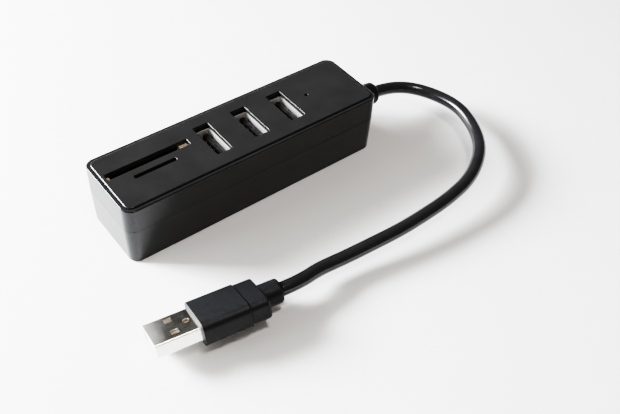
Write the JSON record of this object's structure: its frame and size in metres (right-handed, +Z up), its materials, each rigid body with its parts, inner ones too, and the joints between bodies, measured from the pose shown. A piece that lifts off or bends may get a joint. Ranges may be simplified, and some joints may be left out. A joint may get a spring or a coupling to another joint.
{
  "type": "usb hub with card reader",
  "caption": "Compact black USB hub with upright USB-A ports, SD and microSD card slots in the top, and a short attached lead ending in a USB-A plug.",
  "frame": {"origin": "bottom centre of the housing, on the surface it stands on", "axes": "+X along the housing towards the cable exit, +Y across it towards the SD slot's side, +Z up through the ports"},
  "size_m": [0.1435, 0.0705, 0.0227],
  "materials": {
    "shell_gloss": "gloss",
    "plate_satin": "satin",
    "grip_matte": "matte",
    "cord_jacket": "gloss",
    "nickel": "satin",
    "stamped_steel": "satin",
    "contact_gold": "gloss",
    "tinned": "satin",
    "black_nylon": "matte",
    "white_nylon": "satin",
    "ivory_nylon": "matte",
    "board_green": "satin",
    "chip_epoxy": "matte",
    "tantalum": "satin",
    "ceramic_tan": "satin",
    "led_epoxy": "clear",
    "wire_red": "satin",
    "wire_white": "satin",
    "wire_green": "satin",
    "wire_black": "satin"
  },
  "bodies": {
    "root": {"board_screws": "tinned", "bulk_capacitors": "tantalum", "chip_capacitors": "ceramic_tan", "chip_resistors": "chip_epoxy", "crystal": "stamped_steel", "hub_cable": "cord_jacket", "hub_controller": "chip_epoxy", "hub_controller_leads": "tinned", "lower_shell": "shell_gloss", "main_circuit_board": "board_green", "microsd_socket_base": "black_nylon", "microsd_socket_contacts": "contact_gold", "microsd_socket_cover": "stamped_steel", "plug_contacts": "contact_gold", "plug_insulator": "white_nylon", "plug_overmould": "grip_matte", "plug_shell": "nickel", "reader_circuit_board": "board_green", "reader_controller": "chip_epoxy", "reader_controller_leads": "tinned", "reader_header_pins": "tinned", "reader_header_strip": "black_nylon", "sd_socket_base": "ivory_nylon", "sd_socket_contacts": "contact_gold", "sd_socket_cover": "stamped_steel", "status_led": "led_epoxy", "status_led_leads": "tinned", "strain_relief": "grip_matte", "top_plate": "plate_satin", "upper_shell": "shell_gloss", "usb_port_contacts_1": "contact_gold", "usb_port_contacts_2": "contact_gold", "usb_port_contacts_3": "contact_gold", "usb_port_insulator_1": "black_nylon", "usb_port_insulator_2": "black_nylon", "usb_port_insulator_3": "black_nylon", "usb_port_shell_1": "nickel", "usb_port_shell_2": "nickel", "usb_port_shell_3": "nickel", "wire_black": "wire_black", "wire_green": "wire_green", "wire_red": "wire_red", "wire_white": "wire_white"}
  },
  "joints": []
}
